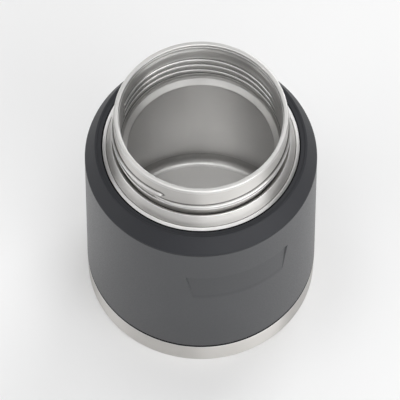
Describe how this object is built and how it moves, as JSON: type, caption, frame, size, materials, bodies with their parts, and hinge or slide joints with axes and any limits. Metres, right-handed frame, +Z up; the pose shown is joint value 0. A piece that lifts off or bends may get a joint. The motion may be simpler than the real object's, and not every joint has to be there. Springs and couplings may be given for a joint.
{
  "type": "insulated food jar",
  "caption": "Wide-mouth vacuum-insulated steel food jar, stood open with its lid off: painted body, dark grip collar, bare threaded neck and bare steel base cup.",
  "frame": {"origin": "centre of the foot, on the surface that the jar stands on", "axes": "+Z up along the jar's axis, out of its mouth; -Y is the front, and the pressed panel is to the front and right, towards +X"},
  "size_m": [0.107, 0.107, 0.135],
  "materials": {
    "charcoal_paint": "satin charcoal powder coat on steel",
    "satin_steel": "turned and satin-brushed stainless steel, brushed round the axis",
    "rim_steel": "ground and softly polished stainless steel weld",
    "liner_steel": "electropolished satin stainless steel, food side",
    "collar_plastic": "matte moulded polypropylene, near black",
    "black_rubber": "matte black silicone",
    "base_steel": "stainless steel brushed round the axis",
    "mill_steel": "mill-finish stainless steel",
    "solder_glass": "dark solder glass bead",
    "getter_metal": "pressed and sintered metal powder",
    "foil": "bright thin foil"
  },
  "bodies": {
    "root": {"outer_body": "charcoal_paint", "outer_neck": "satin_steel", "rim_weld": "rim_steel", "liner_body": "liner_steel", "liner_bottom": "liner_steel", "grip_collar": "collar_plastic", "collar_seal": "black_rubber", "base_cup": "base_steel", "base_seal": "black_rubber", "vacuum_bottom": "mill_steel", "seal_bead": "solder_glass", "getter_clip": "mill_steel", "getter_pellet": "getter_metal", "foil_wrap": "foil", "foil_disc": "foil"}
  },
  "joints": []
}
